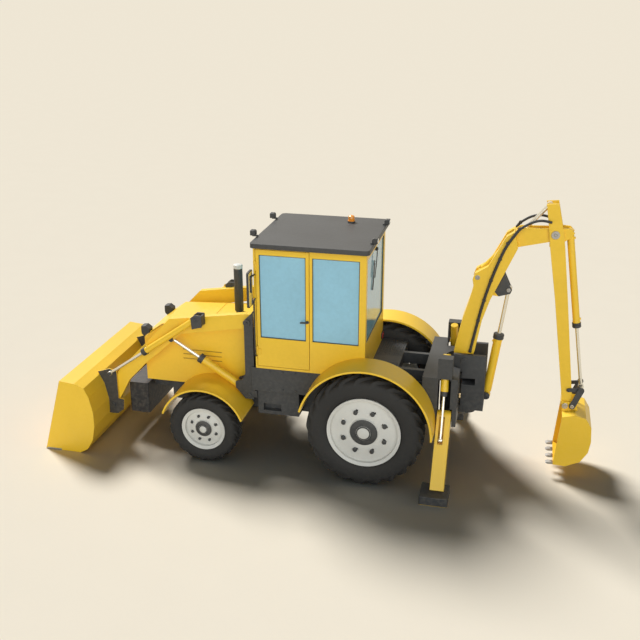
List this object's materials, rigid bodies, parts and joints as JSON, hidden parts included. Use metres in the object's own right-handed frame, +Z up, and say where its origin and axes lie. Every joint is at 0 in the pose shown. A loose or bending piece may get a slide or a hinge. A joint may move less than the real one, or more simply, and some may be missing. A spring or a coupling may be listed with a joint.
{
  "type": "backhoe loader",
  "caption": "Wheeled tractor with a glazed cab, a front loader bucket, a rear digging boom, dipper and bucket, and two swing-out stabilisers.",
  "frame": {"origin": "on the ground, under the middle of the machine's length and width", "axes": "+X forward to the loader bucket, +Y to the machine's left, +Z up"},
  "size_m": [7.204, 2.69, 3.5584],
  "materials": {
    "yellow_paint": "satin",
    "dark_paint": "satin",
    "grey_paint": "satin",
    "iron": "matte",
    "tyre_rubber": "matte",
    "window_glass": "clear",
    "chrome_rod": "polished",
    "seat_fabric": "matte",
    "black_plastic": "matte",
    "amber_plastic": "gloss",
    "hose_rubber": "matte"
  },
  "bodies": {
    "chassis": {"chassis_frame": "dark_paint", "rear_frame": "dark_paint", "leg_mounts": "dark_paint", "axles": "iron", "power_train": "iron", "counterweight": "iron", "loader_towers": "dark_paint", "platform": "dark_paint", "hood_body": "yellow_paint", "exhaust": "dark_paint", "fenders": "yellow_paint", "cab_shell": "yellow_paint", "cab_glass": "window_glass", "cab_roof": "dark_paint", "beacon": "amber_plastic", "mirrors": "black_plastic", "seat": "seat_fabric", "controls": "black_plastic"},
    "lid": {"hood_lid": "yellow_paint"},
    "left_door": {"left_door": "yellow_paint", "left_door_glass": "window_glass"},
    "right_door": {"right_door": "yellow_paint", "right_door_glass": "window_glass"},
    "left_knuckle": {"left_knuckle": "iron"},
    "right_knuckle": {"right_knuckle": "iron"},
    "front_left_wheel": {"front_left_rim": "grey_paint", "front_left_tyre": "tyre_rubber"},
    "front_right_wheel": {"front_right_rim": "grey_paint", "front_right_tyre": "tyre_rubber"},
    "rear_left_wheel": {"rear_left_rim": "grey_paint", "rear_left_tyre": "tyre_rubber"},
    "rear_right_wheel": {"rear_right_rim": "grey_paint", "rear_right_tyre": "tyre_rubber"},
    "arms": {"loader_arms": "yellow_paint"},
    "lift_barrels": {"lift_barrels": "yellow_paint"},
    "lift_rods": {"lift_rods": "chrome_rod"},
    "tilt_barrels": {"tilt_barrels": "yellow_paint"},
    "tilt_rods": {"tilt_rods": "chrome_rod"},
    "loader_bucket": {"loader_bucket": "yellow_paint"},
    "post": {"swing_post": "dark_paint"},
    "boom": {"boom": "yellow_paint", "boom_hoses": "hose_rubber"},
    "boom_barrel": {"boom_barrel": "yellow_paint"},
    "boom_rod": {"boom_rod": "chrome_rod"},
    "dipper": {"dipper": "yellow_paint"},
    "dipper_barrel": {"dipper_barrel": "yellow_paint"},
    "dipper_rod": {"dipper_rod": "chrome_rod"},
    "dig_bucket": {"backhoe_bucket": "yellow_paint"},
    "bucket_barrel": {"bucket_barrel": "yellow_paint"},
    "bucket_rod": {"bucket_rod": "chrome_rod"},
    "guide_links": {"guide_links": "dark_paint"},
    "bucket_links": {"bucket_links": "dark_paint"},
    "left_leg": {"left_leg": "yellow_paint"},
    "left_leg_barrel": {"left_leg_barrel": "yellow_paint"},
    "left_leg_rod": {"left_leg_rod": "chrome_rod"},
    "right_leg": {"right_leg": "yellow_paint"},
    "right_leg_barrel": {"right_leg_barrel": "yellow_paint"},
    "right_leg_rod": {"right_leg_rod": "chrome_rod"}
  },
  "joints": [
    {"name": "rear_left_spin", "type": "hinge", "parent": "chassis", "child": "rear_left_wheel", "pos_m": [-0.812, 0.902, 0.746], "axis": [0, 1, 0], "continuous": true},
    {"name": "rear_right_spin", "type": "hinge", "parent": "chassis", "child": "rear_right_wheel", "pos_m": [-0.812, -0.902, 0.746], "axis": [0, 1, 0], "continuous": true},
    {"name": "left_steer", "type": "hinge", "parent": "chassis", "child": "left_knuckle", "pos_m": [1.358, 0.752, 0.477], "axis": [0, 0, 1], "range_deg": [-30, 30]},
    {"name": "front_left_spin", "type": "hinge", "parent": "left_knuckle", "child": "front_left_wheel", "pos_m": [1.358, 0.832, 0.477], "axis": [0, 1, 0], "continuous": true},
    {"name": "right_steer", "type": "hinge", "parent": "chassis", "child": "right_knuckle", "pos_m": [1.358, -0.752, 0.477], "axis": [0, 0, 1], "range_deg": [-30, 30]},
    {"name": "front_right_spin", "type": "hinge", "parent": "right_knuckle", "child": "front_right_wheel", "pos_m": [1.358, -0.832, 0.477], "axis": [0, 1, 0], "continuous": true},
    {"name": "hood_open", "type": "hinge", "parent": "chassis", "child": "lid", "pos_m": [1.446, 0, 1.7584], "axis": [0, -1, 0], "range_deg": [0, 60]},
    {"name": "left_door_open", "type": "hinge", "parent": "chassis", "child": "left_door", "pos_m": [0.654, 0.702, 2.1], "axis": [0, 0, -1], "range_deg": [0, 75]},
    {"name": "right_door_open", "type": "hinge", "parent": "chassis", "child": "right_door", "pos_m": [0.654, -0.702, 2.1], "axis": [0, 0, 1], "range_deg": [0, 75]},
    {"name": "arms_lift", "type": "hinge", "parent": "chassis", "child": "arms", "pos_m": [0.803, 0, 1.925], "axis": [0, -1, 0], "range_deg": [0, 55]},
    {"name": "lift_barrel_turn", "type": "hinge", "parent": "chassis", "child": "lift_barrels", "pos_m": [0.791, 0, 0.899], "axis": [0, -1, 0], "range_deg": [-0.5, 30.59]},
    {"name": "lift_rod_slide", "type": "slide", "parent": "lift_barrels", "child": "lift_rods", "axis": [0.8474, 0, 0.5309], "range_m": [-0.005, 0.6903]},
    {"name": "loader_bucket_tilt", "type": "hinge", "parent": "arms", "child": "loader_bucket", "pos_m": [2.788, 0, 0.54], "axis": [0, 1, 0], "range_deg": [-20, 60]},
    {"name": "tilt_barrel_turn", "type": "hinge", "parent": "arms", "child": "tilt_barrels", "pos_m": [1.468, 0, 1.938], "axis": [0, 1, 0], "range_deg": [-4.76, 1.92]},
    {"name": "tilt_rod_slide", "type": "slide", "parent": "tilt_barrels", "child": "tilt_rods", "axis": [0.8188, 0, -0.5741], "range_m": [-0.1519, 0.4458]},
    {"name": "boom_swing", "type": "hinge", "parent": "chassis", "child": "post", "pos_m": [-2.012, 0, 1], "axis": [0, 0, 1], "range_deg": [-75, 75]},
    {"name": "boom_swing_up", "type": "hinge", "parent": "post", "child": "boom", "pos_m": [-1.952, 0, 1.492], "axis": [0, -1, 0], "range_deg": [0, 60]},
    {"name": "boom_barrel_turn", "type": "hinge", "parent": "post", "child": "boom_barrel", "pos_m": [-2.25, 0, 0.955], "axis": [0, -1, 0], "range_deg": [-0.5, 44.01]},
    {"name": "boom_rod_slide", "type": "slide", "parent": "boom_barrel", "child": "boom_rod", "axis": [-0.1215, 0, 0.9926], "range_m": [-0.51, 0.005]},
    {"name": "dipper_reach", "type": "hinge", "parent": "boom", "child": "dipper", "pos_m": [-2.928, 0, 3.178], "axis": [0, 1, 0], "range_deg": [0, 90]},
    {"name": "dipper_barrel_turn", "type": "hinge", "parent": "boom", "child": "dipper_barrel", "pos_m": [-2.044, 0, 2.59], "axis": [0, 1, 0], "range_deg": [-2.22, 0.5]},
    {"name": "dipper_rod_slide", "type": "slide", "parent": "dipper_barrel", "child": "dipper_rod", "axis": [-0.6465, 0, 0.763], "range_m": [-0.5028, 0.005]},
    {"name": "dig_bucket_turn", "type": "hinge", "parent": "dipper", "child": "dig_bucket", "pos_m": [-3.247, 0, 0.955], "axis": [0, -1, 0], "range_deg": [-35, 95]},
    {"name": "guide_links_turn", "type": "hinge", "parent": "dipper", "child": "guide_links", "pos_m": [-3.27, 0, 1.17], "axis": [0, 1, 0], "range_deg": [-51, 19.11]},
    {"name": "bucket_links_turn", "type": "hinge", "parent": "dig_bucket", "child": "bucket_links", "pos_m": [-3.334, 0, 0.962], "axis": [0, 1, 0], "range_deg": [-32.14, 86.39]},
    {"name": "bucket_barrel_turn", "type": "hinge", "parent": "dipper", "child": "bucket_barrel", "pos_m": [-3.097, 0, 3.205], "axis": [0, 1, 0], "range_deg": [-1.42, 0.84]},
    {"name": "bucket_rod_slide", "type": "slide", "parent": "bucket_barrel", "child": "bucket_rod", "axis": [-0.1603, 0, -0.9871], "range_m": [-0.051, 0.1298]},
    {"name": "left_leg_raise", "type": "hinge", "parent": "chassis", "child": "left_leg", "pos_m": [-1.769, 0.645, 0.89], "axis": [1, 0, 0], "range_deg": [0, 70]},
    {"name": "left_leg_barrel_turn", "type": "hinge", "parent": "chassis", "child": "left_leg_barrel", "pos_m": [-1.752, 0.598, 1.42], "axis": [1, 0, 0], "range_deg": [-0.5, 22.5]},
    {"name": "left_leg_rod_slide", "type": "slide", "parent": "left_leg_barrel", "child": "left_leg_rod", "axis": [0, 0.3173, -0.9483], "range_m": [-0.2571, 0.005]},
    {"name": "right_leg_raise", "type": "hinge", "parent": "chassis", "child": "right_leg", "pos_m": [-1.769, -0.645, 0.89], "axis": [-1, 0, 0], "range_deg": [0, 70]},
    {"name": "right_leg_barrel_turn", "type": "hinge", "parent": "chassis", "child": "right_leg_barrel", "pos_m": [-1.752, -0.598, 1.42], "axis": [-1, 0, 0], "range_deg": [-0.5, 22.5]},
    {"name": "right_leg_rod_slide", "type": "slide", "parent": "right_leg_barrel", "child": "right_leg_rod", "axis": [0, -0.3173, -0.9483], "range_m": [-0.2571, 0.005]}
  ],
  "couplings": [
    {"joint": "right_steer", "follows": "left_steer", "ratio": 1},
    {"joint": "lift_barrel_turn", "follows": "arms_lift", "ratio": 0.54706},
    {"joint": "lift_rod_slide", "follows": "arms_lift", "m_per_rad": 0.71394},
    {"joint": "tilt_barrel_turn", "follows": "loader_bucket_tilt", "ratio": -0.071087},
    {"joint": "tilt_rod_slide", "follows": "loader_bucket_tilt", "m_per_rad": 0.42092},
    {"joint": "boom_barrel_turn", "follows": "boom_swing_up", "ratio": 0.72518},
    {"joint": "boom_rod_slide", "follows": "boom_swing_up", "m_per_rad": -0.48224},
    {"joint": "dipper_barrel_turn", "follows": "dipper_reach", "ratio": -0.019111},
    {"joint": "dipper_rod_slide", "follows": "dipper_reach", "m_per_rad": -0.31692},
    {"joint": "guide_links_turn", "follows": "dig_bucket_turn", "ratio": -0.53158},
    {"joint": "bucket_links_turn", "follows": "dig_bucket_turn", "ratio": 0.9041},
    {"joint": "bucket_barrel_turn", "follows": "dig_bucket_turn", "ratio": -0.009653},
    {"joint": "bucket_rod_slide", "follows": "dig_bucket_turn", "m_per_rad": 0.075281},
    {"joint": "left_leg_barrel_turn", "follows": "left_leg_raise", "ratio": 0.3143},
    {"joint": "left_leg_rod_slide", "follows": "left_leg_raise", "m_per_rad": -0.20636},
    {"joint": "right_leg_barrel_turn", "follows": "right_leg_raise", "ratio": 0.3143},
    {"joint": "right_leg_rod_slide", "follows": "right_leg_raise", "m_per_rad": -0.20636}
  ]
}
